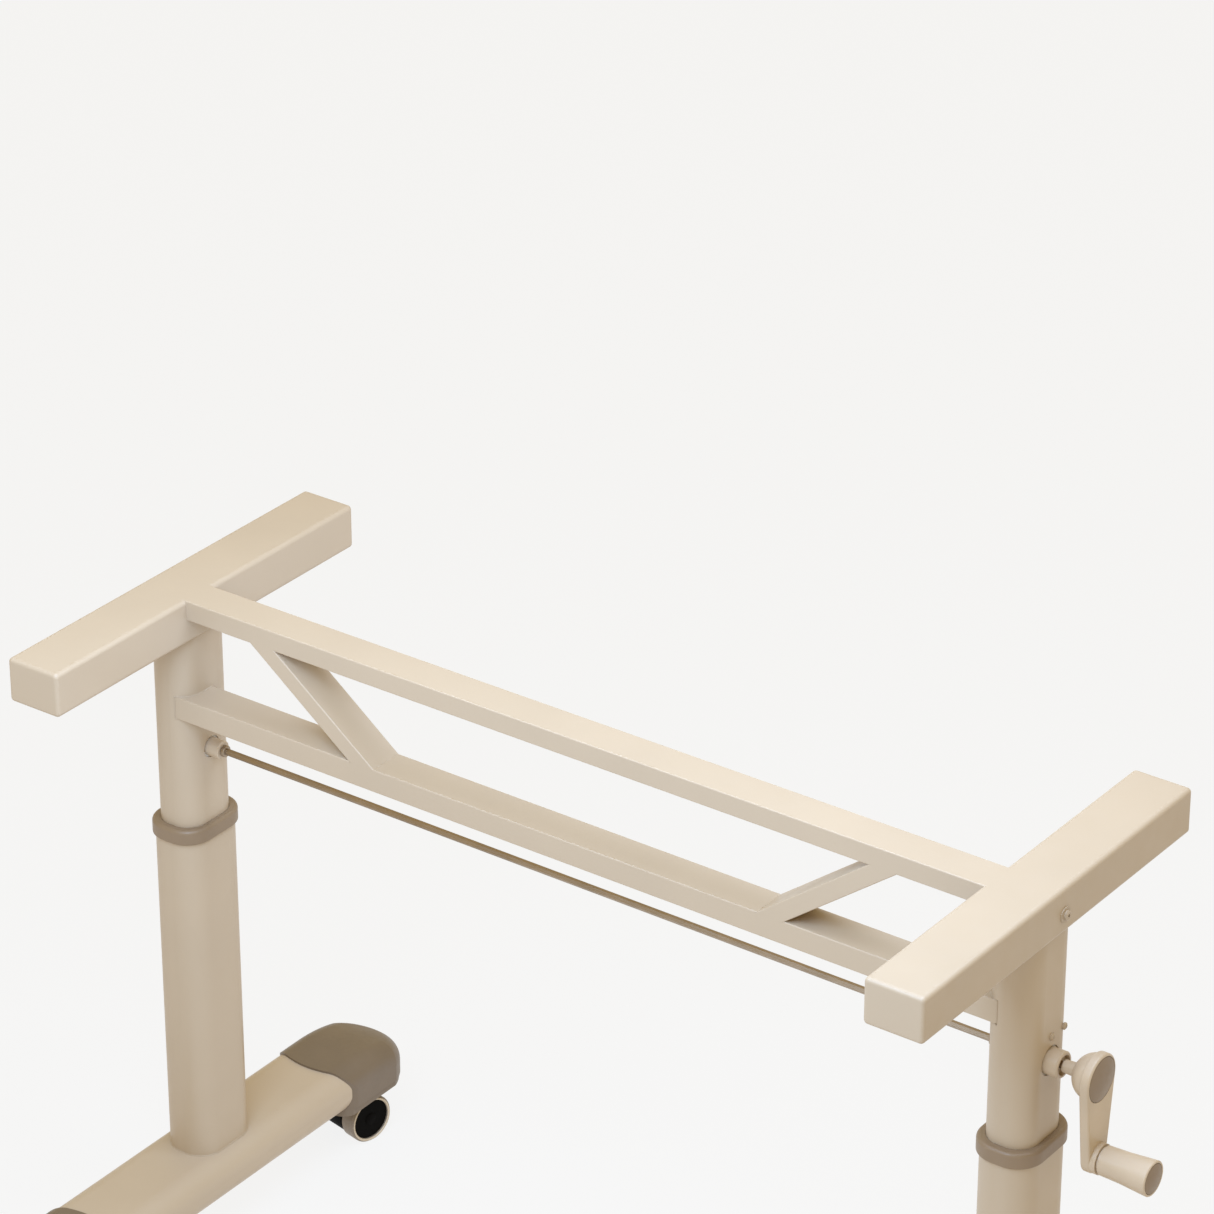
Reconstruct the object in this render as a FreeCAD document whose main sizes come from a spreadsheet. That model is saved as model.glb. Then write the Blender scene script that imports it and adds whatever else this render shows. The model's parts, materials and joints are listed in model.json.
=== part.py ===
import FreeCAD, Part
import math
import os
import re

import Sketcher

# A height-adjustable table frame on castors. A hand crank turns one shaft, bevel gears in both legs
# turn two lead screws, and the screws push the telescopic legs apart.
#
# Frame: +X runs along the crossbars to the crank, +Y to the rear and +Z up. The origin is on the floor,
# in the middle of the space that the whole frame takes, crank included. Sizes are in millimetres.

DIMENSIONS = {
    # the whole frame, with its top at the resting height
    "table_height": 760,
    "mid_x": -44.2,  # the plane halfway between the legs
    "leg_spacing": 978,
    "column_y": 15,  # the columns and the bars stand this far behind the crossbars and the feet
    # the bars that carry the tabletop
    "bar_width": 62,
    "bar_height": 47,
    "bar_length": 449,
    "bar_radius": 4.5,
    "bar_wall": 2,
    "end_plate": 6,
    "bar_end_edge": 4,
    "bar_bolt_y": 5,
    "bar_bolt_drop": 4,
    # the crossbars and the two braces between them
    "rail_depth": 40,
    "rail_radius": 1.2,
    "rail_wall": 1.2,
    "top_rail_height": 21.2,
    "low_rail_height": 24.6,
    "low_rail_drop": 112.5,
    "brace_low_x": 239,
    "brace_run": 119,
    "brace_width": 30.5,
    "truss_shift": -5,
    # the telescopic legs
    "inner_x": 52,
    "inner_y": 72,
    "inner_radius": 22,
    "inner_wall": 2,
    "inner_low": 180,
    "outer_x": 60,
    "outer_y": 84,
    "outer_radius": 25,
    "outer_wall": 1.5,
    "collar_x": 66.5,
    "collar_y": 90,
    "collar_radius": 28,
    "collar_low": 483,
    "collar_height": 16,
    "collar_edge": 4,
    "liner_length": 60,
    "glide_height": 20,
    "sliding_gap": 0.3,
    "seat_gap": 0.05,
    # the feet
    "foot_top": 110,
    "foot_width": 98,
    "foot_height": 50,
    "foot_radius": 22,
    "foot_wall": 2.5,
    "foot_length": 420,
    "cap_half": 51,
    "cap_round": 53,  # the radius of the cap's end in plan
    "cap_reach": 303,
    "cap_seam": 173,  # where the cap begins on top of the foot
    "seam_drop": 27,  # how much further out it begins on the foot's sides
    "seam_corner": 20,
    "cap_proud": 2.5,
    "cap_edge": 24,
    "cap_slope": 21,  # how far its top comes down towards the end
    "cap_slope_run": 88,
    "cap_step": 1.5,
    "cap_step_height": 7,
    "cap_depth": 28,
    "cavity_half": 42,
    "cavity_round": 43,
    "socket_radius": 12,
    # the castors
    "stem_y": 226,
    "stem_radius": 5,
    "stem_gap": 0.06,
    "stem_rise": 28,
    "castor_trail": 15.5,
    "castor_turn": 11.5,
    "wheel_radius": 27,
    "wheel_inside": 18.5,
    "wheel_outside": 38,
    "rim_radius": 22.8,
    "web": 4,
    "hood_radius": 25.2,
    "hood_width": 34,
    "axle_radius": 3,
    # the drive
    "shaft_height": 581,
    "shaft_flats": 6,
    "shaft_bore": 3.6,
    "housing_top": 34,
    "housing_low": 30,
    "gear_reach": 16.5,
    "gear_room_x": 38,
    "gear_room_y": 32,
    "bushing_radius": 9.5,
    "bushing_hole": 11.6,
    "left_bushing_end": 41,
    "right_bushing_end": 31,
    "ring_radius": 6,
    "crank_bushing_radius": 13,
    "crank_bushing_hole": 14.8,
    "crank_bushing_end": 40.5,
    "screw_height": 606,
    "screw_y": 22,
    "lead_radius": 8,
    "lead_low": 190,
    "nut_low": 425,
    "nut_height": 22,
    "nut_radius": 14,
    # the crank, measured along X from its leg's middle
    "crank_radius": 83,
    "crank_back": 70,
    "crank_face": 80,
    "crank_neck": 41.2,
    "head_radius": 24.5,
    "arm_end_radius": 15.5,
    "disc_radius": 21.5,
    "disc_depth": 2,
    "grip_start": 87,
    "grip_end": 137.6,
    "grip_radius": 14.3,
    "grip_flare": 17.3,
    "grip_rim": 2.2,
    "grip_cap_gap": 0.5,
    "pin_radius": 4,
}

SIDES = {"left": -1, "right": 1}
ENDS = {"front": -1, "rear": 1}
NORMALS = {"XY": 1, "XZ": -1, "YZ": 1}  # which way each plane's normal points along its axis
TINY = 1e-6
HALF_TURN = math.pi
QUARTER = math.pi / 2
HALF_ROOT = math.sqrt(0.5)

doc = FreeCAD.newDocument("TableFrame")
sheet = doc.addObject("Spreadsheet::Sheet", "Dims")
for row, (name, number) in enumerate(DIMENSIONS.items(), start=1):
    sheet.set(f"A{row}", name)
    sheet.set(f"B{row}", str(number))
    sheet.setAlias(f"B{row}", name)
doc.recompute()

nodes = {}


def named(text):
    """The expression for a size written with the names in DIMENSIONS."""

    def swap(word):
        return f"Dims.{word.group()}" if word.group() in DIMENSIONS else word.group()

    return re.sub(r"[a-z_]+", swap, text)


def value(text):
    """The number that such a size has now."""
    return float(sheet.evalExpression(named(text)))


# Sketches


def sketch_on(body, plane, along="0", right="0", up="0"):
    """A sketch on one of the body's own planes, moved along its normal's axis and within the plane."""
    sketch = body.newObject("Sketcher::SketchObject", "Profile")
    base = next(f for f in body.Origin.OriginFeatures if f.Role == plane + "_Plane")
    sketch.AttachmentSupport = [(base, "")]
    sketch.MapMode = "FlatFace"
    moves = {"x": right, "y": up, "z": f"{NORMALS[plane]} * ({along})"}
    for axis, move in moves.items():
        sketch.setExpression(f"AttachmentOffset.Base.{axis}", named(move))
    return sketch


def fix_size(sketch, kind, places, size):
    index = sketch.addConstraint(Sketcher.Constraint(kind, *places, value(size)))
    sketch.setExpression(f"Constraints[{index}]", named(size))


def fix_point(sketch, shape, point, x, y):
    """Holds a point of the sketch at x, y."""
    for kind, size, axis in (("DistanceX", x, -2), ("DistanceY", y, -1)):
        if abs(value(size)) < TINY:
            sketch.addConstraint(Sketcher.Constraint("PointOnObject", shape, point, axis))
        else:
            fix_size(sketch, kind, (-1, 1, shape, point), size)


def circle(radius, x="0", y="0"):
    def draw(sketch):
        centre = FreeCAD.Vector(value(x), value(y), 0)
        shape = sketch.addGeometry(Part.Circle(centre, FreeCAD.Vector(0, 0, 1), value(radius)))
        fix_size(sketch, "Radius", (shape,), radius)
        fix_point(sketch, shape, 3, x, y)

    return draw


def arc_between(a, b, radius):
    """The short arc from a to b. It turns left for a positive radius and right for a negative one."""
    half = (b - a) / 2
    left = FreeCAD.Vector(-half.y, half.x, 0).normalize()
    rise = math.copysign(math.sqrt(radius * radius - half.Length**2), radius)
    centre = a + half + left * rise
    start, stop = (a, b) if radius > 0 else (b, a)
    angles = [math.atan2(end.y - centre.y, end.x - centre.x) for end in (start, stop)]
    return Part.ArcOfCircle(Part.Circle(centre, FreeCAD.Vector(0, 0, 1), abs(radius)), *angles)


def outline(points):
    """A closed run of lines. A third number in a point bends the line from it to the next point to
    that radius, to the left if the number is positive."""

    def draw(sketch):
        corners = [FreeCAD.Vector(value(x), value(y), 0) for x, y, *bend in points]
        pieces = []
        for (x, y, *bend), a, b in zip(points, corners, corners[1:] + corners[:1]):
            if bend:
                index = sketch.addGeometry(arc_between(a, b, value(bend[0])))
                first, last = (1, 2) if value(bend[0]) > 0 else (2, 1)
            else:
                index = sketch.addGeometry(Part.LineSegment(a, b))
                first, last = 1, 2
            pieces.append((index, first, last))
        for (index, first, last), (following, start, stop) in zip(pieces, pieces[1:] + pieces[:1]):
            sketch.addConstraint(Sketcher.Constraint("Coincident", index, last, following, start))
        for (x, y, *bend), (index, first, last) in zip(points, pieces):
            fix_point(sketch, index, first, x, y)
            if bend:
                fix_size(sketch, "Radius", (index,), bend[0].lstrip("-"))

    return draw


def rectangle(wide, high):
    x, y = f"({wide}) / 2", f"({high}) / 2"
    return outline([(f"-{x}", f"-{y}"), (x, f"-{y}"), (x, y), (f"-{x}", y)])


def hexagon(flats):
    corner, half = f"0.57735 * {flats}", f"{flats} / 2"
    quarter = f"0.288675 * {flats}"
    upper = [(corner, "0"), (quarter, half), (f"-{quarter}", half)]
    lower = [(f"-{corner}", "0"), (f"-{quarter}", f"-{half}"), (quarter, f"-{half}")]
    return outline(upper + lower)


def rounded(wide, high, radius):
    """A rectangle with round corners, centred on the sketch's origin."""

    def draw(sketch):
        a, b, r = value(wide) / 2, value(high) / 2, value(radius)
        centres = [(a - r, r - b), (a - r, b - r), (r - a, b - r), (r - a, r - b)]
        starts = [(r - a, -b), (a, r - b), (a - r, b), (-a, b - r)]
        stops = [(a - r, -b), (a, b - r), (r - a, b), (-a, r - b)]
        normal = FreeCAD.Vector(0, 0, 1)
        shapes = []
        for k in range(4):
            start, stop = FreeCAD.Vector(*starts[k], 0), FreeCAD.Vector(*stops[k], 0)
            shapes.append(sketch.addGeometry(Part.LineSegment(start, stop)))
            corner = Part.Circle(FreeCAD.Vector(*centres[k], 0), normal, r)
            turn = (k - 1) * QUARTER
            shapes.append(sketch.addGeometry(Part.ArcOfCircle(corner, turn, turn + QUARTER)))
        for shape, following in zip(shapes, shapes[1:] + shapes[:1]):
            sketch.addConstraint(Sketcher.Constraint("Tangent", shape, 2, following, 1))
        low, first, right, second, top, third, left, fourth = shapes
        for line in (low, top):
            sketch.addConstraint(Sketcher.Constraint("Horizontal", line))
        for line in (left, right):
            sketch.addConstraint(Sketcher.Constraint("Vertical", line))
        for arc in (second, third, fourth):
            sketch.addConstraint(Sketcher.Constraint("Equal", first, arc))
        sketch.addConstraint(Sketcher.Constraint("Symmetric", second, 3, fourth, 3, -1, 1))
        fix_size(sketch, "Radius", (first,), radius)
        fix_size(sketch, "DistanceX", (left, 1, right, 1), wide)
        fix_size(sketch, "DistanceY", (low, 1, top, 1), high)

    return draw


# Features


def body(label):
    piece = doc.addObject("PartDesign::Body", label)
    piece.Label = label
    return piece


def extrude(piece, kind, plane, draws, low, high, right, up):
    sketch = sketch_on(piece, plane, f"(({low}) + ({high})) / 2", right, up)
    for draw in draws:
        draw(sketch)
    feature = piece.newObject(f"PartDesign::{kind}", kind)
    feature.Profile = sketch
    feature.SideType = "Symmetric"
    feature.setExpression("Length", named(f"({high}) - ({low})"))
    sketch.Visibility = False
    doc.recompute()


def add(piece, plane, draws, low, high, right="0", up="0"):
    """Adds the drawn section between two places along the plane's normal."""
    extrude(piece, "Pad", plane, draws, low, high, right, up)


def cut(piece, plane, draws, low, high, right="0", up="0"):
    """Removes the drawn section between two places along the plane's normal."""
    extrude(piece, "Pocket", plane, draws, low, high, right, up)


def turn(piece, axis, points):
    """Adds a turned shape. Each point is a place along the axis and a radius there."""
    plane = "XY" if axis == "X" else "XZ"
    sketch = sketch_on(piece, plane)
    outline(points if axis == "X" else [(r, a) for a, r in points])(sketch)
    feature = piece.newObject("PartDesign::Revolution", "Revolution")
    feature.Profile = sketch
    origin_axis = next(f for f in piece.Origin.OriginFeatures if f.Role == axis + "_Axis")
    feature.ReferenceAxis = (origin_axis, [""])
    feature.Angle = 360
    sketch.Visibility = False
    doc.recompute()


def soften(piece, radius, wanted):
    """Rounds the edges that wanted() picks."""
    base = piece.Tip
    edges = [f"Edge{n}" for n, edge in enumerate(base.Shape.Edges, start=1) if wanted(edge)]
    feature = piece.newObject("PartDesign::Fillet", "Fillet")
    feature.Base = (base, edges)
    feature.setExpression("Radius", named(radius))
    doc.recompute()


def flat_at(axis, *places):
    """Picks edges that lie in a plane square to the axis, at one of the places."""

    def wanted(edge):
        box = edge.BoundBox
        low, high = {"X": (box.XMin, box.XMax), "Y": (box.YMin, box.YMax), "Z": (box.ZMin, box.ZMax)}[axis]
        return any(abs(low - value(p)) < 1e-4 and abs(high - value(p)) < 1e-4 for p in places)

    return wanted


def place(piece, x="0", y="0", z="0", axis=(0, 0, 1), angle="0"):
    rotation = FreeCAD.Rotation(FreeCAD.Vector(*axis), value(angle))
    piece.Placement = FreeCAD.Placement(FreeCAD.Vector(value(x), value(y), value(z)), rotation)
    for letter, size in zip("xyz", (x, y, z)):
        piece.setExpression(f"Placement.Base.{letter}", named(size))
    return piece


def keep(piece):
    """Makes the piece a node of its own."""
    nodes[piece.Label] = piece
    return piece


def group(label, pieces):
    """Identical pieces of one body, kept as separate solids in one node."""
    bundle = doc.addObject("Part::Compound", label)
    bundle.Label = label
    bundle.Links = pieces
    keep(bundle)


def column_x(side):
    return f"mid_x + {SIDES[side]} * leg_spacing / 2"


def ordered(side, near, far):
    """The span from near to far on one side of X = 0, lowest first."""
    return (near, far) if SIDES[side] > 0 else (f"-({far})", f"-({near})")


# The top frame


def top_bar(side):
    bar = body(f"{side}_top_bar")
    inside = rounded("bar_width - 2 * bar_wall", "bar_height - 2 * bar_wall", "bar_radius - bar_wall")
    half = "bar_length / 2 - end_plate"
    add(bar, "XZ", [rounded("bar_width", "bar_height", "bar_radius"), inside], f"-({half})", half)
    low, high = ordered(side, "bar_width / 2 - 4", "bar_width / 2 + 1")
    cut(bar, "YZ", [circle("3.2", "bar_bolt_y", "-bar_bolt_drop")], low, high)
    keep(place(bar, column_x(side), "column_y", "table_height - bar_height / 2"))


def bar_end_plates():
    plates = []
    for side in SIDES:
        for end, sign in ENDS.items():
            plate = body(f"{side}_{end}_bar_end_plate")
            add(plate, "XZ", [rounded("bar_width", "bar_height", "bar_radius")], "0", "end_plate")
            soften(plate, "bar_end_edge", flat_at("Y", "end_plate"))
            angle = "0" if sign > 0 else "180"
            y = f"column_y + {sign} * (bar_length / 2 - end_plate)"
            plates.append(place(plate, column_x(side), y, "table_height - bar_height / 2", angle=angle))
    group("bar_end_plates", plates)


def head_brackets():
    """The ring of steel inside each bar that its leg is welded to and its bolt threads into."""
    pieces = []
    for side in SIDES:
        bracket = body(f"{side}_head_bracket")
        clear = "2 * bar_wall + 4 * seat_gap"
        outside = rounded(f"bar_width - ({clear})", f"bar_height - ({clear})", "bar_radius - bar_wall")
        inside = rounded("bar_width - 2 * bar_wall - 10", "bar_height - 2 * bar_wall - 10", "1")
        add(bracket, "XZ", [outside, inside], "-35", "35")
        low, high = ordered(side, "bar_width / 2 - 9", "bar_width / 2")
        cut(bracket, "YZ", [circle("3.05", "bar_bolt_y", "-bar_bolt_drop")], low, high)
        pieces.append(place(bracket, column_x(side), "column_y", "table_height - bar_height / 2"))
    group("head_brackets", pieces)


def bar_bolts():
    bolts = []
    for side, sign in SIDES.items():
        bolt = body(f"{side}_bar_bolt")
        profile = [("-10", "0"), ("-10", "3"), ("0", "3"), ("0", "8"), ("1.2", "7.8"), ("1.2", "4.8")]
        turn(bolt, "X", profile + [("3.6", "4.8"), ("4.2", "3.6"), ("4.2", "0")])
        cut(bolt, "YZ", [hexagon("3")], "2.4", "4.5")
        x = f"{column_x(side)} + {sign} * bar_width / 2"
        angle = "0" if sign > 0 else "180"
        z = "table_height - bar_height / 2 - bar_bolt_drop"
        bolts.append(place(bolt, x, "column_y + bar_bolt_y", z, angle=angle))
    group("bar_bolts", bolts)


def upper_crossbar():
    """Its ends are cut to the bars' rounded sections."""
    rail = body("upper_crossbar")
    inside = rectangle("rail_depth - 2 * rail_wall", "top_rail_height - 2 * rail_wall")
    half = "((leg_spacing - bar_width) / 2 + bar_radius)"
    add(rail, "YZ", [rounded("rail_depth", "top_rail_height", "rail_radius"), inside], f"-{half}", half)
    for sign in SIDES.values():
        bar, up = [rounded("bar_width", "bar_height", "bar_radius")], "(top_rail_height - bar_height) / 2"
        cut(rail, "XZ", bar, "-rail_depth", "rail_depth", f"{sign} * leg_spacing / 2", up)
    keep(place(rail, "mid_x", "0", "table_height - top_rail_height / 2"))


def lower_crossbar():
    """Its ends are cut to the round sides of the columns."""
    rail = body("lower_crossbar")
    inside = rectangle("rail_depth - 2 * rail_wall", "low_rail_height - 2 * rail_wall")
    half = "leg_spacing / 2 - 5"
    add(rail, "YZ", [rounded("rail_depth", "low_rail_height", "rail_radius"), inside], f"-({half})", half)
    for sign in SIDES.values():
        column = [rounded("inner_x", "inner_y", "inner_radius")]
        cut(rail, "XY", column, "-20", "20", f"{sign} * leg_spacing / 2", "column_y")
    keep(place(rail, "mid_x", "0", "table_height - low_rail_drop - low_rail_height / 2"))


def brace(side):
    sign = SIDES[side]
    height = "low_rail_drop - top_rail_height"
    piece = body(f"{side}_brace")

    def slanted(width, extra):
        """The slanted section, which runs past both rails' faces by a little."""
        back = f"{sign} * brace_run * {extra} / ({height})"
        run = f"{sign} * brace_run + {back}"
        low = [(f"-({width}) / 2 - {back}", f"-{extra}"), (f"({width}) / 2 - {back}", f"-{extra}")]
        top = f"{height} + {extra}"
        return outline(low + [(f"{run} + ({width}) / 2", top), (f"{run} - ({width}) / 2", top)])

    slant = FreeCAD.Vector(sign * value("brace_run"), 0, value(height)).normalize()

    def lengthwise(edge):
        return edge.Length > 50 and edge.tangentAt(0).cross(slant).Length < TINY

    front, back = "-rail_depth / 2", "rail_depth / 2"
    add(piece, "XZ", [slanted("brace_width", "rail_radius")], front, back)
    soften(piece, "rail_radius", lengthwise)
    inside = [slanted("brace_width - 3.33 * rail_wall", "rail_wall")]
    cut(piece, "XZ", inside, f"{front} + rail_wall", f"{back} - rail_wall")
    low, high = "-brace_run - brace_width", "brace_run + brace_width"
    low_rail = ("low_rail_height", "-low_rail_height / 2")
    top_rail = ("top_rail_height", f"{height} + top_rail_height / 2")
    for tall, middle in (low_rail, top_rail):
        cut(piece, "YZ", [rounded("rail_depth", tall, "rail_radius")], low, high, "0", middle)
    x = f"mid_x + truss_shift + {sign} * brace_low_x"
    keep(place(piece, x, "0", "table_height - low_rail_drop"))


def inner_tube(side):
    tube = body(f"{side}_inner_tube")
    inside = rounded("inner_x - 2 * inner_wall", "inner_y - 2 * inner_wall", "inner_radius - inner_wall")
    section = [rounded("inner_x", "inner_y", "inner_radius"), inside]
    add(tube, "XY", section, "inner_low", "table_height - bar_height")
    inward = "left" if side == "right" else "right"
    low, high = ordered(inward, "inner_x / 2 - 6", "inner_x / 2 + 1")
    cut(tube, "YZ", [circle("bushing_hole", "0", "shaft_height")], low, high)
    low, high = ordered(side, "inner_x / 2 - 6", "inner_x / 2 + 1")
    cut(tube, "YZ", [circle("2.2", "0", "screw_height"), circle("2.2", "screw_y", "screw_height")], low, high)
    if side == "right":
        cut(tube, "YZ", [circle("crank_bushing_hole", "0", "shaft_height")], low, high)
    keep(place(tube, column_x(side), "column_y"))


def lower_glides():
    pieces = []
    for side in SIDES:
        glide = body(f"{side}_lower_glide")
        slack = "(outer_wall + sliding_gap)"
        radius = f"outer_radius - {slack}"
        outside = rounded(f"outer_x - 2 * {slack}", f"outer_y - 2 * {slack}", radius)
        seat = rounded("inner_x + 2 * seat_gap", "inner_y + 2 * seat_gap", "inner_radius + seat_gap")
        add(glide, "XY", [outside, seat], "inner_low", "inner_low + glide_height")
        pieces.append(place(glide, column_x(side), "column_y"))
    group("lower_glides", pieces)


# The drive


def gear_housings():
    housings = []
    for side in SIDES:
        housing = body(f"{side}_gear_housing")
        loose = "(inner_wall + sliding_gap)"
        radius = f"inner_radius - {loose}"
        block = [rounded(f"inner_x - 2 * {loose}", f"inner_y - 2 * {loose}", radius)]
        low = "shaft_height - housing_low"
        add(housing, "XY", block, low, "shaft_height + housing_top")
        room_low, room_high = "shaft_height - gear_reach - 2", "shaft_height + gear_reach + 0.5"
        cut(housing, "XY", [rectangle("gear_room_x", "gear_room_y")], room_low, room_high)
        cut(housing, "YZ", [circle("shaft_bore", "0", "shaft_height")], "-inner_x / 2", "inner_x / 2")
        cut(housing, "XY", [circle("lead_radius + 0.1")], f"{low} - 1", "shaft_height - gear_reach")
        low, high = ordered(side, "10", "inner_x / 2")
        holes = [circle("2.05", "0", "screw_height"), circle("2.05", "screw_y", "screw_height")]
        cut(housing, "YZ", holes, low, high)
        housings.append(place(housing, column_x(side), "column_y"))
    group("gear_housings", housings)


def gearbox_screws():
    screws = []
    for side, sign in SIDES.items():
        for y, stand in (("0", "inner_x / 2"), ("screw_y", "inner_x / 2 - 0.5")):
            screw = body(f"{side}_gearbox_screw")
            profile = [("-9", "0"), ("-9", "2"), ("0", "2"), ("0", "3.5"), ("1.5", "3.5")]
            turn(screw, "X", profile + [("2.5", "2"), ("2.5", "0")])
            cut(screw, "YZ", [rectangle("0.9", "3.2")], "1.4", "2.6")
            angle = "0" if sign > 0 else "180"
            x = f"{column_x(side)} + {sign} * ({stand})"
            screws.append(place(screw, x, f"column_y + {y}", "screw_height", angle=angle))
    group("gearbox_screws", screws)


def shaft_bushings():
    """Plain bearings in the inner face of each column, where the shaft goes in."""
    bushings = []
    for side, sign in SIDES.items():
        bushing = body(f"{side}_shaft_bushing")
        start, stop = "inner_x / 2 - inner_wall - sliding_gap", f"{side}_bushing_end"
        profile = [(start, "shaft_bore"), (start, "bushing_radius"), (f"{stop} - 1", "bushing_radius")]
        turn(bushing, "X", profile + [(stop, "bushing_radius - 1"), (stop, "shaft_bore")])
        angle = "180" if sign > 0 else "0"
        bushings.append(place(bushing, column_x(side), "column_y", "shaft_height", angle=angle))
    group("shaft_bushings", bushings)


def crank_bushing():
    bushing = body("crank_bushing")
    start, stop = "inner_x / 2 - inner_wall - sliding_gap", "crank_bushing_end"
    outside = "crank_bushing_radius"
    profile = [(start, "shaft_bore"), (start, outside), (f"{stop} - 1.2", outside)]
    profile += [(stop, f"{outside} - 1.2"), (stop, f"{outside} - 3"), (f"{stop} - 4", f"{outside} - 4")]
    turn(bushing, "X", profile + [(f"{stop} - 4", "shaft_bore")])
    keep(place(bushing, column_x("right"), "column_y", "shaft_height"))


def drive_shaft():
    shaft = body("drive_shaft")
    start, stop = "-leg_spacing / 2 - 20", "leg_spacing / 2 + crank_back"
    add(shaft, "YZ", [hexagon("shaft_flats")], start, stop)
    keep(place(shaft, "mid_x", "column_y", "shaft_height"))


def shaft_rings():
    """Rings on the shaft that stop it from moving endways."""
    rings = []
    for side, sign in SIDES.items():
        ring = body(f"{side}_shaft_ring")
        start = f"{side}_bushing_end + sliding_gap"
        add(ring, "YZ", [circle("ring_radius"), hexagon("shaft_flats")], start, f"{start} + 4.5")
        soften(ring, "1", lambda edge: edge.Curve.TypeId == "Part::GeomCircle")
        angle = "180" if sign > 0 else "0"
        rings.append(place(ring, column_x(side), "column_y", "shaft_height", angle=angle))
    group("shaft_rings", rings)


GEAR_TEETH = 16
PITCH_RADIUS = 12  # at the wide end, which is as far from the shafts' meeting point
NARROW = 0.7  # the narrow end's size over the wide end's
TOOTH_TOP, TOOTH_DEPTH = 0.75, 1.0  # above and below the pitch cone
TOP_HALF, ROOT_HALF = 0.45, 1.2  # half the tooth's thickness


def bevel_gear_shape():
    """A bevel gear that points up: its teeth run to the point where the two shafts' axes meet, which is
    the origin, and its back lies gear_reach below."""

    def station(scale):
        corners = []
        for rise, half in ((-TOOTH_DEPTH - 0.3, ROOT_HALF), (TOOTH_TOP, TOP_HALF)):
            out = PITCH_RADIUS + rise * HALF_ROOT
            up = -PITCH_RADIUS + rise * HALF_ROOT
            corners += [FreeCAD.Vector(out, half, up) * scale, FreeCAD.Vector(out, -half, up) * scale]
        low_a, low_b, high_b, high_a = corners
        return Part.makePolygon([low_a, low_b, high_a, high_b, low_a])

    root_out = PITCH_RADIUS - TOOTH_DEPTH * HALF_ROOT
    root_up = -PITCH_RADIUS - TOOTH_DEPTH * HALF_ROOT
    back = -value("gear_reach")
    blank = [(0, root_up * NARROW), (root_out * NARROW, root_up * NARROW), (root_out, root_up)]
    blank += [(root_out - 2, back), (0, back)]
    wire = Part.makePolygon([FreeCAD.Vector(r, 0, z) for r, z in blank + blank[:1]])
    up_axis = FreeCAD.Vector(0, 0, 1)
    gear = Part.Face(wire).revolve(FreeCAD.Vector(), up_axis, 360)
    tooth = Part.makeLoft([station(NARROW), station(1)], True, True)
    teeth = []
    for number in range(GEAR_TEETH):
        copy = tooth.copy()
        copy.rotate(FreeCAD.Vector(), up_axis, number * 360 / GEAR_TEETH)
        teeth.append(copy)
    return gear.fuse(teeth).removeSplitter()


def set_shape(label, shape, x, y, z, axis, angle):
    piece = doc.addObject("Part::Feature", label)
    piece.Shape = shape
    piece.Label = label
    return place(piece, x, y, z, axis, angle)


def drive_gears():
    """The bevel gears on the shaft, which point to the crank."""
    corner = value("0.57735 * shaft_flats")
    angles = [number * math.pi / 3 for number in range(7)]
    corners = [FreeCAD.Vector(corner * math.cos(angle), corner * math.sin(angle), 0) for angle in angles]
    rod = Part.Face(Part.makePolygon(corners)).extrude(FreeCAD.Vector(0, 0, -30))
    # turned to the shaft's flats once the gear points along X
    rod.rotate(FreeCAD.Vector(), FreeCAD.Vector(0, 0, 1), 90)
    shape = bevel_gear_shape().cut(rod)
    gears = []
    for side in SIDES:
        spot = (column_x(side), "column_y", "shaft_height")
        gears.append(set_shape(f"{side}_drive_gear", shape, *spot, (0, 1, 0), "90"))
    group("drive_gears", gears)


def driven_gear(side):
    spot = (column_x(side), "column_y", "shaft_height")
    half_tooth = str(180 / GEAR_TEETH)
    keep(set_shape(f"{side}_driven_gear", bevel_gear_shape(), *spot, (0, 0, 1), half_tooth))


def lead_screw(side):
    screw = body(f"{side}_lead_screw")
    add(screw, "XY", [circle("lead_radius")], "lead_low", "shaft_height - gear_reach")
    soften(screw, "1.5", flat_at("Z", "lead_low"))
    keep(place(screw, column_x(side), "column_y"))


# The bases


def outer_tube(side):
    tube = body(f"{side}_outer_tube")
    inside = rounded("outer_x - 2 * outer_wall", "outer_y - 2 * outer_wall", "outer_radius - outer_wall")
    add(tube, "XY", [rounded("outer_x", "outer_y", "outer_radius"), inside], "foot_top", "collar_low")
    keep(place(tube, column_x(side), "column_y"))


def collar(side):
    """The plastic ring on top of the outer tube, with the sleeve that lines the tube."""
    ring = body(f"{side}_collar")
    tight = "2 * outer_wall + 2 * seat_gap"
    sleeve = rounded(f"outer_x - ({tight})", f"outer_y - ({tight})", "outer_radius - outer_wall - seat_gap")
    low, high = "collar_low", "collar_low + collar_height"
    add(ring, "XY", [rounded("collar_x", "collar_y", "collar_radius")], low, high)
    soften(ring, "collar_edge", flat_at("Z", high))
    soften(ring, "1", flat_at("Z", low))
    add(ring, "XY", [sleeve], f"{low} - liner_length", f"{low} + 1")
    way = rounded("inner_x + 2 * sliding_gap", "inner_y + 2 * sliding_gap", "inner_radius + sliding_gap")
    cut(ring, "XY", [way], f"{low} - liner_length - 1", f"{high} + 1")
    keep(place(ring, column_x(side), "column_y"))


FOOT_BOLTS = (-20, 20)  # measured from the column's middle, along the foot


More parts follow.
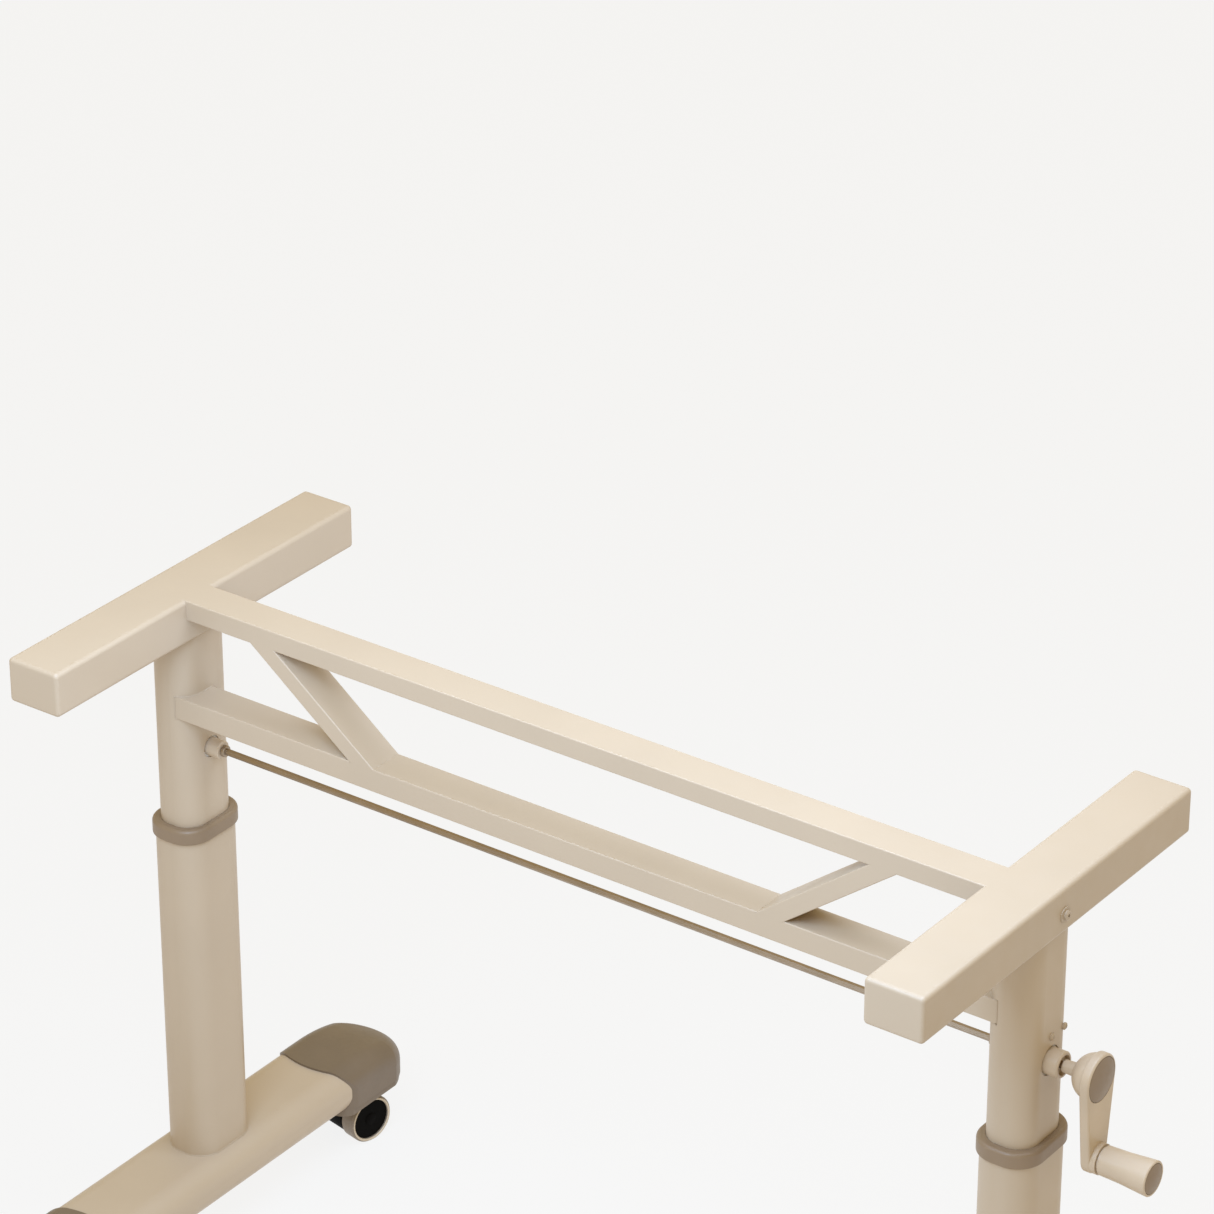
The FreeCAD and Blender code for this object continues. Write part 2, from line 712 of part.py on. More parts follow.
def foot_tube(side):
    foot = body(f"{side}_foot_tube")
    inside = rounded("foot_width - 2 * foot_wall", "foot_height - 2 * foot_wall", "foot_radius - foot_wall")
    section = [rounded("foot_width", "foot_height", "foot_radius"), inside]
    add(foot, "XZ", section, "-foot_length / 2", "foot_length / 2")
    for shift in FOOT_BOLTS:
        cut(foot, "XY", [circle("4.2", "0", f"column_y + {shift}")], "-foot_height", "foot_height")
    keep(place(foot, column_x(side), "0", "foot_top - foot_height / 2"))


def nut_tube(side):
    """The tube that carries the nut. Its flange is bolted to the foot, inside the column."""
    tube = body(f"{side}_nut_tube")
    profile = [("foot_top", "11"), ("foot_top", "27"), ("foot_top + 8", "27"), ("foot_top + 8", "nut_radius")]
    turn(tube, "Z", profile + [("nut_low", "nut_radius"), ("nut_low", "11")])
    for shift in FOOT_BOLTS:
        cut(tube, "XY", [circle("4.05", "0", str(shift))], "foot_top - 1", "foot_top + 9")
    keep(place(tube, column_x(side), "column_y"))


def screw_nut(side):
    nut = body(f"{side}_screw_nut")
    ring = [circle("nut_radius"), circle("lead_radius + 0.1")]
    add(nut, "XY", ring, "nut_low", "nut_low + nut_height")
    keep(place(nut, column_x(side), "column_y"))


def foot_bolts(side):
    bolts = []
    for shift in FOOT_BOLTS:
        bolt = body(f"{side}_foot_bolt")
        add(bolt, "XY", [hexagon("13")], "-5.3", "0")
        add(bolt, "XY", [circle("4")], "-1", "foot_height + 8")
        y = f"column_y + {shift}"
        bolts.append(place(bolt, column_x(side), y, "foot_top - foot_height"))
    group(f"{side}_foot_bolts", bolts)


CAP_MIDDLE = "cap_reach - cap_round"  # where the cap's round end is centred, along the foot


def cap_plan(inset):
    """Plan of a foot cap: straight sides and a broad round end."""
    half, radius = f"(cap_half - {inset})", f"(cap_round - {inset})"
    back, corner = f"cap_seam - ({CAP_MIDDLE}) - 10", f"sqrt({radius} * {radius} - {half} * {half})"
    return outline([(f"-{half}", back), (half, back), (half, corner, radius), (f"-{half}", corner)])


def cap_slope(top):
    """What is above the cap's top, which bends down towards the end."""
    start, low, past = "cap_round - cap_slope_run", f"{top} - cap_slope", "cap_round + 5"
    bend = value("(cap_slope_run * cap_slope_run + cap_slope * cap_slope) / (2 * cap_slope)")
    over = f"{top} + 1"
    return outline([(start, top, f"-{bend}"), ("cap_round", low), (past, low), (past, over), (start, over)])


def seam_cut():
    """Everything towards the column from the cap's seam: a broad arc on top of the foot, with round
    corners that run out to the foot's sides."""
    tip = f"cap_seam - ({CAP_MIDDLE})"
    side, wide, back = f"{tip} + seam_drop", "cap_half + 10", f"{tip} - 20"
    out, rise, corner = value("cap_half - seam_corner"), value("seam_drop"), value("seam_corner")
    broad = (out * out + rise * rise - corner * corner) / (2 * (rise - corner))
    lean = math.atan2(out, broad - rise)
    meet_x, meet_y = broad * math.sin(lean), f"{tip} + {broad * (1 - math.cos(lean))}"
    right = [(wide, side), ("cap_half", side, "-seam_corner"), (str(meet_x), meet_y, f"-{broad}")]
    left = [(f"-{meet_x}", meet_y, "-seam_corner"), ("-cap_half", side), (f"-({wide})", side)]
    return outline([(wide, back)] + right + left + [(f"-({wide})", back)])


def cap_hollow(start):
    """The space inside the cap, from the tube's end to a wall's thickness from the outside."""
    half, end = "cavity_half", "sqrt(cavity_round * cavity_round - cavity_half * cavity_half)"
    return outline([(f"-{half}", start), (half, start), (half, end, "cavity_round"), (f"-{half}", end)])


def foot_cap(side, end):
    """A moulded cap that slides over the foot tube's end. The castor's stem turns in its socket."""
    sign = ENDS[end]
    cap = body(f"{side}_{end}_foot_cap")
    low = "foot_top - foot_height - 2"
    top, band = "foot_top + cap_proud", f"{low} + cap_step_height"
    add(cap, "XY", [cap_plan("0")], band, top)
    cut(cap, "YZ", [cap_slope(top)], "-cap_half - 1", "cap_half + 1")
    lowest = value(f"{top} - cap_slope - 1")
    soften(cap, "cap_edge", lambda edge: edge.BoundBox.ZMin > lowest and edge.BoundBox.YLength > 1)
    add(cap, "XY", [cap_plan("cap_step")], low, band)
    cut(cap, "XY", [seam_cut()], f"{low} - 1", f"{top} + 1")
    tube_end = f"foot_length / 2 - ({CAP_MIDDLE})"
    tube = [rounded("foot_width + 2 * seat_gap", "foot_height + 2 * seat_gap", "foot_radius + seat_gap")]
    cut(cap, "XZ", tube, f"{tube_end} - 80", tube_end, "0", "foot_top - foot_height / 2")
    socket_y = f"stem_y - ({CAP_MIDDLE})"
    hollow = [cap_hollow(f"{tube_end} + 3"), circle("socket_radius", "0", socket_y)]
    cut(cap, "XY", hollow, f"{low} - 1", f"{low} + cap_depth")
    cut(cap, "XY", [circle("stem_radius + stem_gap", "0", socket_y)], f"{low} - 1", f"{low} + cap_depth + 5")
    keep(place(cap, column_x(side), f"{sign} * ({CAP_MIDDLE})", angle="0" if sign > 0 else "180"))


# The castors


def castor(side, end):
    """A twin-wheel castor. Its pieces are drawn around the stem's axis, at floor level, or around the
    wheels' axle."""
    name = f"{side}_{end}_castor"
    x, y = column_x(side), f"{ENDS[end]} * stem_y"
    seat = {"axis": (0, 0, -1), "angle": "castor_turn"}

    hood = body(f"{name}_body")
    left, right = "-hood_width / 2", "hood_width / 2"
    add(hood, "YZ", [circle("hood_radius", "castor_trail", "wheel_radius")], left, right)
    soften(hood, "1.5", flat_at("X", left, right))
    under = "foot_top - foot_height"
    add(hood, "XY", [circle("socket_radius + 1")], "wheel_radius + 8", f"{under} - 2 - sliding_gap")
    add(hood, "XY", [circle("stem_radius")], f"{under} - 4", f"{under} + stem_rise")
    bore = [circle("axle_radius + stem_gap", "castor_trail", "wheel_radius")]
    cut(hood, "YZ", bore, "-hood_width", "hood_width")
    keep(place(hood, x, y, **seat))

    def around_axle(piece, flip=False):
        """The castor's trail runs along the turned Y axis."""
        ahead = f"{x} + castor_trail * sin(castor_turn)"
        across = f"{y} + castor_trail * cos(castor_turn)"
        angle = "180 + castor_turn" if flip else "castor_turn"
        return place(piece, ahead, across, "wheel_radius", (0, 0, -1), angle)

    on_axle, axle_end = "axle_radius + 0.02", "wheel_outside - 3.4"
    axle = body(f"{name}_axle")
    add(axle, "YZ", [circle("axle_radius")], f"-({axle_end})", axle_end)
    keep(around_axle(axle))

    tyres, discs = [], []
    inside, outside = "wheel_inside", "wheel_outside"
    for flip in (False, True):
        tyre = body(f"{name}_tyre")
        profile = [(inside, on_axle), (inside, "wheel_radius - 2"), (f"{inside} + 2", "wheel_radius")]
        profile += [(f"{outside} - 2", "wheel_radius"), (outside, "wheel_radius - 1.6")]
        profile += [(outside, "rim_radius + 1"), (f"{outside} - 1", "rim_radius")]
        turn(tyre, "X", profile + [(f"{inside} + web", "rim_radius"), (f"{inside} + web", on_axle)])
        tyres.append(around_axle(tyre, flip))
        disc = body(f"{name}_disc")
        face = f"{outside} - 1.8"
        profile = [(f"{inside} + web", on_axle), (f"{inside} + web", "rim_radius - 6")]
        profile += [(f"{face} - 3", "rim_radius - 6"), (f"{face} - 3", "rim_radius - seat_gap")]
        profile += [(f"{face} - 0.6", "rim_radius - seat_gap"), (face, "rim_radius - 1"), (face, "0")]
        turn(disc, "X", profile + [(axle_end, "0"), (axle_end, on_axle)])
        discs.append(around_axle(disc, flip))
    group(f"{name}_tyres", tyres)
    group(f"{name}_discs", discs)


# The crank


def crank_arm():
    """The arm hangs from a round head, whose bell-shaped neck is fixed to the shaft."""
    arm = body("crank_arm")

    def plate(sketch):
        big, small, drop = value("head_radius"), value("arm_end_radius"), value("crank_radius")
        lean = math.asin((big - small) / drop)
        normal = FreeCAD.Vector(0, 0, 1)
        head = Part.Circle(FreeCAD.Vector(), normal, big)
        end = Part.Circle(FreeCAD.Vector(0, -drop, 0), normal, small)
        head = sketch.addGeometry(Part.ArcOfCircle(head, -lean, HALF_TURN + lean))
        end = sketch.addGeometry(Part.ArcOfCircle(end, HALF_TURN + lean, 2 * HALF_TURN - lean))

        def corner(radius, y, side):
            return FreeCAD.Vector(side * radius * math.cos(lean), y - radius * math.sin(lean), 0)

        left = sketch.addGeometry(Part.LineSegment(corner(big, 0, -1), corner(small, -drop, -1)))
        right = sketch.addGeometry(Part.LineSegment(corner(small, -drop, 1), corner(big, 0, 1)))
        loop = [head, left, end, right]
        for shape, following in zip(loop, loop[1:] + loop[:1]):
            sketch.addConstraint(Sketcher.Constraint("Tangent", shape, 2, following, 1))
        sketch.addConstraint(Sketcher.Constraint("Coincident", head, 3, -1, 1))
        sketch.addConstraint(Sketcher.Constraint("PointOnObject", end, 3, -2))
        fix_size(sketch, "DistanceY", (end, 3, -1, 1), "crank_radius")
        fix_size(sketch, "Radius", (head,), "head_radius")
        fix_size(sketch, "Radius", (end,), "arm_end_radius")

    add(arm, "YZ", [plate], "crank_back", "crank_face")
    soften(arm, "2.5", flat_at("X", "crank_back", "crank_face"))
    bell = [("crank_neck", "0"), ("crank_neck", "6.2"), ("crank_back - 17", "6.7")]
    bell += [("crank_back - 16", "9", "-20"), ("crank_back + 1", "head_radius - 2.2")]
    bell += [("crank_back + 3", "head_radius - 3")]
    turn(arm, "X", bell + [("crank_back + 3", "0")])
    cut(arm, "YZ", [hexagon("shaft_flats")], "crank_neck - 1", "crank_back")
    cut(arm, "YZ", [circle("disc_radius + 0.6")], "crank_face - disc_depth", "crank_face + 1")
    boss = [circle("arm_end_radius - 0.6", "0", "-crank_radius")]
    add(arm, "YZ", boss, "crank_face - 1", "grip_start - 2")
    cut(arm, "YZ", [circle("pin_radius", "0", "-crank_radius")], "crank_back + 2", "grip_start")
    keep(place(arm, column_x("right"), "column_y", "shaft_height"))


def crank_disc():
    """The cover over the head, which hides the shaft's end."""
    disc = body("crank_disc")
    start, face = "crank_face - disc_depth", "crank_face + 2.6"
    profile = [(start, "0"), (start, "disc_radius"), ("crank_face", "disc_radius"), (face, "0")]
    profile[2] += ("-90",)
    turn(disc, "X", profile)
    keep(place(disc, column_x("right"), "column_y", "shaft_height"))


def grip_pin():
    pin = body("grip_pin")
    profile = [("crank_back + 2", "0"), ("crank_back + 2", "pin_radius"), ("grip_end - 9.7", "pin_radius")]
    profile += [("grip_end - 9.7", "7"), ("grip_end - 6.7", "7"), ("grip_end - 6.7", "0")]
    turn(pin, "X", profile)
    keep(place(pin, column_x("right"), "column_y", "shaft_height - crank_radius"))


def grip():
    handle = body("grip")
    bore, seat = "pin_radius + stem_gap", "grip_flare - grip_rim"
    start, stop = "grip_start - 2 + sliding_gap", "grip_end"
    waist, narrow = "(grip_start + grip_end) / 2 - 4", "grip_radius - 1.8"
    profile = [(start, bore), (start, narrow), (f"{start} + 1.5", narrow), (f"{start} + 2.2", "grip_radius")]
    profile += [(waist, "grip_radius + 0.7"), (f"{stop} - 10", "grip_flare - 0.7")]
    profile += [(f"{stop} - 0.8", "grip_flare"), (stop, "grip_flare - 0.6"), (stop, seat)]
    profile += [(f"{stop} - 3", seat), (f"{stop} - 3", "8"), (f"{stop} - 10", "8")]
    turn(handle, "X", profile + [(f"{stop} - 10", bore)])
    keep(place(handle, column_x("right"), "column_y", "shaft_height - crank_radius"))


def grip_cap():
    cap = body("grip_cap")
    start, face, outside = "grip_end - 3", "grip_end + 1.8", "grip_flare - grip_rim - grip_cap_gap"
    profile = [(start, "0"), (start, outside), ("grip_end", outside, "-75"), (face, "0")]
    turn(cap, "X", profile)
    keep(place(cap, column_x("right"), "column_y", "shaft_height - crank_radius"))


def check(obj):
    """Stops if a feature failed, or if a pocket or fillet removed nothing."""
    if {"Invalid", "Error"} & set(obj.State):
        raise RuntimeError(f"{obj.Label} failed: {obj.State}")
    if obj.TypeId in ("PartDesign::Pocket", "PartDesign::Fillet"):
        if obj.BaseFeature.Shape.Volume - obj.Shape.Volume < 0.01:
            raise RuntimeError(f"{obj.Label} of {obj.getParentGeoFeatureGroup().Label} removed nothing")


def build():
    for side in SIDES:
        top_bar(side)
        brace(side)
        inner_tube(side)
        driven_gear(side)
        lead_screw(side)
        outer_tube(side)
        collar(side)
        foot_tube(side)
        nut_tube(side)
        screw_nut(side)
        foot_bolts(side)
        for end in ENDS:
            foot_cap(side, end)
            castor(side, end)
    bar_end_plates()
    head_brackets()
    bar_bolts()
    upper_crossbar()
    lower_crossbar()
    lower_glides()
    gear_housings()
    gearbox_screws()
    shaft_bushings()
    crank_bushing()
    drive_shaft()
    shaft_rings()
    drive_gears()
    crank_arm()
    crank_disc()
    grip_pin()
    grip()
    grip_cap()
    doc.recompute()


def write():
    for obj in doc.Objects:
        check(obj)
    for label, piece in nodes.items():
        if piece.Shape.isNull() or not piece.Shape.isValid():
            raise RuntimeError(f"{label} has no valid shape")
    os.makedirs("parts", exist_ok=True)
    for label, piece in nodes.items():
        piece.Shape.exportStep(f"parts/{label}.step")
        print(f"{label}: {len(piece.Shape.Solids)} solid(s), {piece.Shape.Volume / 1000:.2f} cm3")
    print(len(nodes), "nodes")


build()
write()
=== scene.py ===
"""Looks of a hand-cranked, height-adjustable table frame on castors.

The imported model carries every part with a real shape. This script adds weld beads, wheel rims and
hub caps, gives each part its finish, and sets up the floor, light and camera. Metres, +Z up.
"""

import json
import math

import bpy
from mathutils import Matrix, Vector


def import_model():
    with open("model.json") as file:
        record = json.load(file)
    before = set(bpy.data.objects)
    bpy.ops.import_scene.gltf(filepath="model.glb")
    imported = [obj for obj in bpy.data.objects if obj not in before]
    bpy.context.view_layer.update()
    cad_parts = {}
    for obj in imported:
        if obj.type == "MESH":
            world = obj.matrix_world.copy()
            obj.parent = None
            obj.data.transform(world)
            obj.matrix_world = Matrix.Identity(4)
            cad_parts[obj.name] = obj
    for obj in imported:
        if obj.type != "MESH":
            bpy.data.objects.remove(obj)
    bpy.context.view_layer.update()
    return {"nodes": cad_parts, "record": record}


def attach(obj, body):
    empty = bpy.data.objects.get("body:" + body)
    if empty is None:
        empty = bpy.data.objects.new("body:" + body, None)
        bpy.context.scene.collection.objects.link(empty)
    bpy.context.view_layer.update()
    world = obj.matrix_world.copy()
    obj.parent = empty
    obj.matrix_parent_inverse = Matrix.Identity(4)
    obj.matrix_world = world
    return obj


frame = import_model()
nodes = frame["nodes"]
SIDES = {"left": -1, "right": 1}
ENDS = {"front": -1, "rear": 1}

# Where the parts stand, from the design's own sizes
MID_X = -0.0442  # the plane halfway between the legs
LEG_SPACING = 0.978
COLUMN_Y = 0.015
BAR_UNDERSIDE = 0.713
LOWER_RAIL = (0.6229, 0.6475)  # bottom and top
RAIL_DEPTH = 0.040
FOOT_TOP = 0.110
INNER_TUBE = (0.052, 0.072, 0.022)  # size along X, size along Y and corner radius
OUTER_TUBE = (0.060, 0.084, 0.025)
STEM_Y = 0.226  # each castor's stem, in front of the middle or behind it
CASTOR_TRAIL = 0.0155
CASTOR_TURN = math.radians(11.5)
WHEEL_RADIUS = 0.027
WHEEL_OUTSIDE = 0.038  # a wheel's outer face, from the castor's middle
RIM_RADIUS = 0.0228  # the black disc's edge, where the rim begins
WELD_RADIUS = 0.0008
BEAD_SIDES = 8
ARC_STEPS = 12  # straight pieces to a quarter circle, or to one side of the crossbar
TURN_STEPS = 64

# ---------------------------------------------------------------- finishes


class Finish:
    """A procedural material: a Principled shader and the few nodes that drive it."""

    def __init__(self, name, **sockets):
        self.material = bpy.data.materials.new(name)
        self.material.use_nodes = True
        self.tree = self.material.node_tree
        self.shader = self.tree.nodes["Principled BSDF"]
        for socket, value in sockets.items():
            self.shader.inputs[socket.replace("_", " ")].default_value = value
        self.place = self.tree.nodes.new("ShaderNodeTexCoord").outputs["Object"]

    def add(self, kind, **settings):
        """Adds one node, with its plain settings."""
        made = self.tree.nodes.new(kind)
        for key, value in settings.items():
            setattr(made, key, value)
        return made

    def link(self, source, target):
        self.tree.links.new(source, target)

    def noise(self, scale, detail=3.0, stretch=(1.0, 1.0, 1.0)):
        """Cloudy 0 to 1 pattern, with `scale` patches to the metre."""
        mapping = self.add("ShaderNodeMapping")
        mapping.inputs["Scale"].default_value = stretch
        self.link(self.place, mapping.inputs["Vector"])
        made = self.add("ShaderNodeTexNoise")
        made.inputs["Scale"].default_value = scale
        made.inputs["Detail"].default_value = detail
        self.link(mapping.outputs["Vector"], made.inputs["Vector"])
        return made.outputs["Fac"]

    def ramp(self, factor, low, high, start=0.3, end=0.7):
        """Colour that goes from low to high as the factor goes from start to end."""
        made = self.add("ShaderNodeValToRGB")
        made.color_ramp.elements[0].position = start
        made.color_ramp.elements[0].color = (*low, 1.0)
        made.color_ramp.elements[1].position = end
        made.color_ramp.elements[1].color = (*high, 1.0)
        self.link(factor, made.inputs["Fac"])
        return made.outputs["Color"]

    def colour(self, factor, low, high, start=0.3, end=0.7):
        self.link(self.ramp(factor, low, high, start, end), self.shader.inputs["Base Color"])

    def span(self, factor, low, high, socket):
        """Drives a shader value from low to high by a 0 to 1 pattern."""
        made = self.add("ShaderNodeMapRange")
        made.inputs["From Min"].default_value = 0.3
        made.inputs["From Max"].default_value = 0.7
        made.inputs["To Min"].default_value = low
        made.inputs["To Max"].default_value = high
        self.link(factor, made.inputs["Value"])
        self.link(made.outputs["Result"], self.shader.inputs[socket])

    def bump(self, height, depth, strength=1.0):
        """Raises the surface by up to `depth` metres where the pattern is 1."""
        made = self.add("ShaderNodeBump")
        made.inputs["Strength"].default_value = strength
        made.inputs["Distance"].default_value = depth
        self.link(height, made.inputs["Height"])
        self.link(made.outputs["Normal"], self.shader.inputs["Normal"])


def shade(colour, factor):
    return tuple(channel * factor for channel in colour)


CREAM = (0.500, 0.400, 0.290)
TAUPE = (0.250, 0.176, 0.110)
DARK_TAUPE = (0.176, 0.130, 0.088)


def painted_steel(name="painted_steel", tone=1.0):
    """Cream powder coat: faint clouding and a fine orange-peel skin."""
    made = Finish(name, Roughness=0.42, Coat_Weight=0.12, Coat_Roughness=0.25)
    made.colour(made.noise(9.0), shade(CREAM, 0.97 * tone), shade(CREAM, 1.015 * tone))
    made.span(made.noise(60.0), 0.38, 0.48, "Roughness")
    made.bump(made.noise(750.0, 2.0), 0.00006, 0.6)
    return made.material


def moulded(name, colour, roughness, grain=1400.0, depth=0.00003, specular=0.5):
    """Injection-moulded plastic: even colour with a fine spark-eroded grain."""
    made = Finish(name, Roughness=roughness, Specular_IOR_Level=specular)
    made.colour(made.noise(25.0), shade(colour, 0.95), shade(colour, 1.05))
    made.span(made.noise(180.0), roughness - 0.04, roughness + 0.05, "Roughness")
    made.bump(made.noise(grain, 2.0), depth, 0.6)
    return made.material


def metal(name, colour, roughness, stretch=(1.0, 1.0, 1.0)):
    """Plated metal with a drawn or ground grain along the stretch's short axis."""
    made = Finish(name, Metallic=1.0, Roughness=roughness)
    made.colour(made.noise(40.0), shade(colour, 0.85), shade(colour, 1.0))
    grain = made.noise(900.0, 3.0, stretch)
    made.span(grain, roughness - 0.06, roughness + 0.12, "Roughness")
    made.bump(grain, 0.00002, 0.5)
    return made.material


FINISHES = {
    "cream_paint": painted_steel(),
    "taupe_plastic": moulded("taupe_plastic", TAUPE, 0.42),
    "cap_plastic": moulded("cap_plastic", DARK_TAUPE, 0.40),
    "cream_plastic": moulded("cream_plastic", shade(CREAM, 1.08), 0.36),
    "tyre_plastic": moulded("tyre_plastic", (0.235, 0.185, 0.140), 0.45),
    "black_plastic": moulded("black_plastic", (0.003, 0.0025, 0.002), 0.6, specular=0.04),
    "plated_steel": metal("plated_steel", (0.42, 0.335, 0.25), 0.42, (0.04, 1.0, 1.0)),
    "bolt_steel": painted_steel("painted_bolts", 0.94),
    "white_nylon": moulded("white_nylon", (0.72, 0.70, 0.65), 0.5),
    "bronze": metal("bronze", (0.62, 0.42, 0.20), 0.36),
}
RIM_CREAM = moulded("rim_plastic", (0.56, 0.46, 0.34), 0.40)


def finish_nodes():
    """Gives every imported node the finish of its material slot."""
    for row in frame["record"]["subparts"]:
        materials = nodes[row["node"]].data.materials
        materials.clear()
        materials.append(FINISHES[row["material_slot"]])


finish_nodes()

# ---------------------------------------------------------------- small pieces


def piece(name, points, faces, material, rides_on, slot):
    """A smooth mesh that moves with one of the frame's bodies."""
    mesh = bpy.data.meshes.new(name)
    mesh.from_pydata([tuple(point) for point in points], [], faces)
    mesh.materials.append(material)
    for face in mesh.polygons:
        face.use_smooth = True
    made = bpy.data.objects.new(name, mesh)
    bpy.context.scene.collection.objects.link(made)
    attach(made, rides_on)
    return made


def column_x(side):
    """The middle of a leg, along the crossbars."""
    return MID_X + SIDES[side] * LEG_SPACING / 2


def bead_along(path, radius):
    """Points and faces of a closed round bead that follows a closed path."""
    points, faces, count = [], [], len(path)
    for index, centre in enumerate(path):
        along = (path[(index + 1) % count] - path[index - 1]).normalized()
        helper = Vector((0.0, 0.0, 1.0)) if abs(along.z) < 0.9 else Vector((1.0, 0.0, 0.0))
        across = along.cross(helper).normalized()
        up = across.cross(along)
        for step in range(BEAD_SIDES):
            angle = 2.0 * math.pi * step / BEAD_SIDES
            points.append(centre + radius * (math.cos(angle) * across + math.sin(angle) * up))
    for index in range(count):
        here, following = index * BEAD_SIDES, (index + 1) % count * BEAD_SIDES
        for step in range(BEAD_SIDES):
            after = (step + 1) % BEAD_SIDES
            faces.append((here + step, here + after, following + after, following + step))
    return points, faces


def column_outline(section, x, z):
    """Path around a column's rounded section at one height."""
    wide, deep, radius = section
    path = []
    for quarter, (sx, sy) in enumerate(((1, 1), (-1, 1), (-1, -1), (1, -1))):
        middle = Vector((x + sx * (wide / 2 - radius), COLUMN_Y + sy * (deep / 2 - radius), z))
        for step in range(ARC_STEPS + 1):
            angle = math.pi / 2 * (quarter + step / ARC_STEPS)
            path.append(middle + radius * Vector((math.cos(angle), math.sin(angle), 0.0)))
    return path


def column_reach(y):
    """How far a column's side stands from its middle at this y."""
    wide, deep, radius = INNER_TUBE
    past = max(0.0, abs(y - COLUMN_Y) - (deep / 2 - radius))
    return wide / 2 - radius + math.sqrt(max(0.0, radius * radius - past * past))


def rail_outline(side):
    """Path around the lower crossbar's end, on the round side of its column."""
    (low, high), half = LOWER_RAIL, RAIL_DEPTH / 2
    parts = [index / ARC_STEPS for index in range(ARC_STEPS + 1)]
    loop = [(-half + 2 * half * part, high) for part in parts]
    loop += [(half, high + (low - high) * part) for part in parts[1:]]
    loop += [(half - 2 * half * part, low) for part in parts[1:]]
    loop += [(-half, low + (high - low) * part) for part in parts[1:-1]]
    return [Vector((column_x(side) - SIDES[side] * column_reach(y), y, z)) for y, z in loop]


def weld_beads():
    """Ground welds where the columns meet the bars, the feet and the lower crossbar."""
    for side in SIDES:
        x = column_x(side)
        runs = {
            "bar_weld": (column_outline(INNER_TUBE, x, BAR_UNDERSIDE), "top_frame"),
            "rail_weld": (rail_outline(side), "top_frame"),
            "foot_weld": (column_outline(OUTER_TUBE, x, FOOT_TOP), f"{side}_base"),
        }
        for name, (path, rides_on) in runs.items():
            points, faces = bead_along(path, WELD_RADIUS)
            piece(f"{side}_{name}", points, faces, FINISHES["bolt_steel"], rides_on, "cream_paint")


def lathe(profile, place):
    """Points and faces of a ring or cap turned around the place's X axis."""
    points, faces, count = [], [], len(profile)
    for step in range(TURN_STEPS):
        angle = 2.0 * math.pi * step / TURN_STEPS
        for along, out in profile:
            points.append(place @ Vector((along, out * math.cos(angle), out * math.sin(angle))))
        here, following = step * count, (step + 1) % TURN_STEPS * count
        for index in range(count - 1):
            after = index + 1
            faces.append((here + index, here + after, following + after, following + index))
    return points, faces


def castor_trim():
    """The pale rim and the hub cap on the outer face of each castor wheel. Each point of their
    profiles is a place along the axle and a radius there."""
    face = WHEEL_OUTSIDE
    rim = [(face - 0.0016, RIM_RADIUS + 0.0001), (face - 0.0002, RIM_RADIUS + 0.0003)]
    rim += [(face + 0.0003, RIM_RADIUS + 0.0009), (face + 0.0003, WHEEL_RADIUS - 0.0024)]
    rim += [(face - 0.0001, WHEEL_RADIUS - 0.0016), (face - 0.0012, WHEEL_RADIUS - 0.0009)]
    hub = [(face - 0.0018, 0.0072), (face - 0.0012, 0.0068), (face - 0.0008, 0.0058)]
    hub += [(face - 0.0006, 0.0)]
    for side in SIDES:
        for end, way in ENDS.items():
            x = column_x(side) + CASTOR_TRAIL * math.sin(CASTOR_TURN)
            y = way * STEM_Y + CASTOR_TRAIL * math.cos(CASTOR_TURN)
            for hand, flip in (("outer", 0.0), ("inner", math.pi)):
                turn = Matrix.Rotation(flip - CASTOR_TURN, 4, "Z")
                place = Matrix.Translation((x, y, WHEEL_RADIUS)) @ turn
                name, rides_on = f"{side}_{end}_{hand}", f"{side}_{end}_castor_wheels"
                black = FINISHES["black_plastic"]
                piece(f"{name}_rim", *lathe(rim, place), RIM_CREAM, rides_on, "tyre_plastic")
                piece(f"{name}_hub", *lathe(hub, place), black, rides_on, "black_plastic")


weld_beads()
castor_trim()

# ---------------------------------------------------------------- floor, light and camera


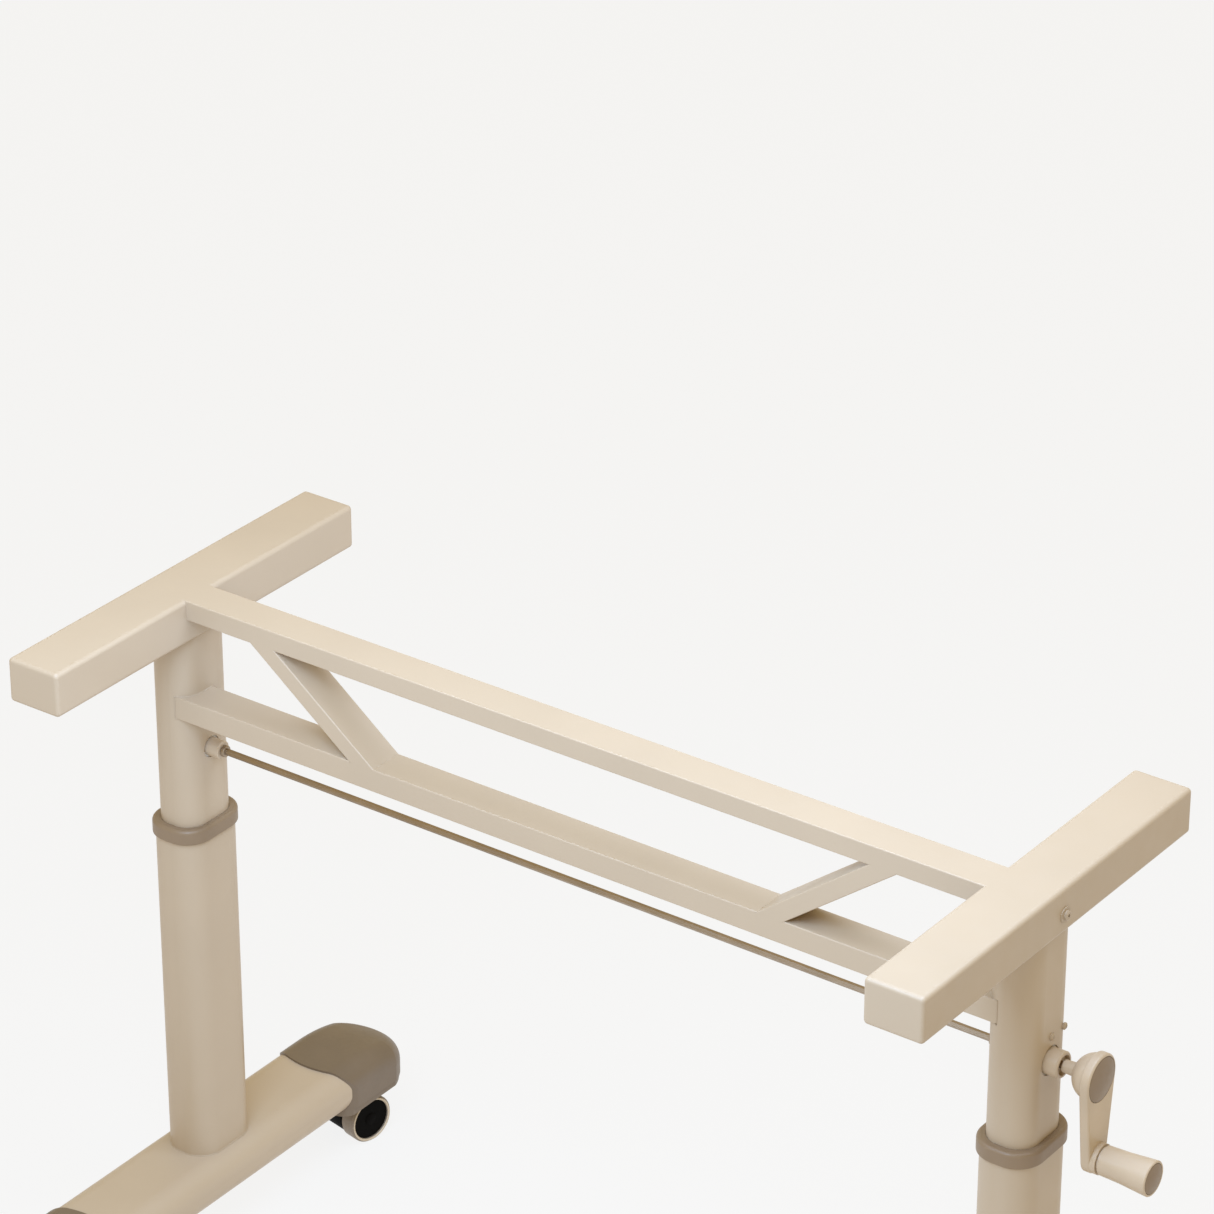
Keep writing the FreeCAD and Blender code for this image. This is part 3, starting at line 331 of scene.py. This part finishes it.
def floor():
    """Pale studio floor that glows a little, so that it stays even far behind the object."""
    half = 20.0
    mesh = bpy.data.meshes.new("floor")
    corners = [(-half, -half, 0.0), (half, -half, 0.0), (half, half, 0.0), (-half, half, 0.0)]
    mesh.from_pydata(corners, [], [(0, 1, 2, 3)])
    made = Finish("floor_paper", Roughness=0.9, Specular_IOR_Level=0.1)
    made.shader.inputs["Base Color"].default_value = (0.06, 0.06, 0.06, 1.0)
    made.shader.inputs["Emission Color"].default_value = (1.0, 1.0, 1.0, 1.0)
    made.shader.inputs["Emission Strength"].default_value = 0.86
    mesh.materials.append(made.material)
    plane = bpy.data.objects.new("floor", mesh)
    bpy.context.scene.collection.objects.link(plane)
    # the legs are what moves when the crank turns, so the floor stays under the feet
    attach(plane, "left_base")


def world():
    """Soft, warm room light all round."""
    made = bpy.data.worlds.new("room")
    made.use_nodes = True
    back = made.node_tree.nodes["Background"]
    back.inputs["Color"].default_value = (1.0, 0.80, 0.42, 1.0)
    back.inputs["Strength"].default_value = 0.67
    bpy.context.scene.world = made


def soft_light(name, place, target, size, power, colour):
    """One square softbox, with its side in metres and its power in watts."""
    lamp = bpy.data.lights.new(name, "AREA")
    lamp.shape = "SQUARE"
    lamp.size = size
    lamp.energy = power
    lamp.color = colour
    made = bpy.data.objects.new(name, lamp)
    made.location = place
    made.rotation_euler = (Vector(target) - Vector(place)).to_track_quat("-Z", "Y").to_euler()
    bpy.context.scene.collection.objects.link(made)


def camera():
    azimuth, elevation = math.radians(36.1), math.radians(27.61)
    lens = bpy.data.cameras.new("camera")
    lens.sensor_width = 36.0
    lens.lens = 149.83
    lens.clip_end = 100.0
    made = bpy.data.objects.new("camera", lens)
    made.location = (2.3998, -3.3036, 3.0355)
    made.rotation_euler = (math.pi / 2 - elevation, 0.0, azimuth)
    bpy.context.scene.collection.objects.link(made)
    bpy.context.scene.camera = made


floor()
world()
for name, place, target, size, power, colour in (
    ("key", (0.2, -1.0, 1.7), (0.0, 0.0, 0.6), 0.9, 25.0, (0.48, 0.68, 1.0)),
    ("left", (-0.45, -0.35, 1.35), (-0.5, 0.0, 0.7), 0.4, 2.2, (0.62, 0.76, 1.0)),
    ("top", (0.35, 0.1, 1.8), (0.2, 0.0, 0.7), 0.8, 15.5, (0.60, 0.74, 1.0)),
):
    soft_light(name, place, target, size, power, colour)
camera()
bpy.context.scene.view_settings.view_transform = "Standard"
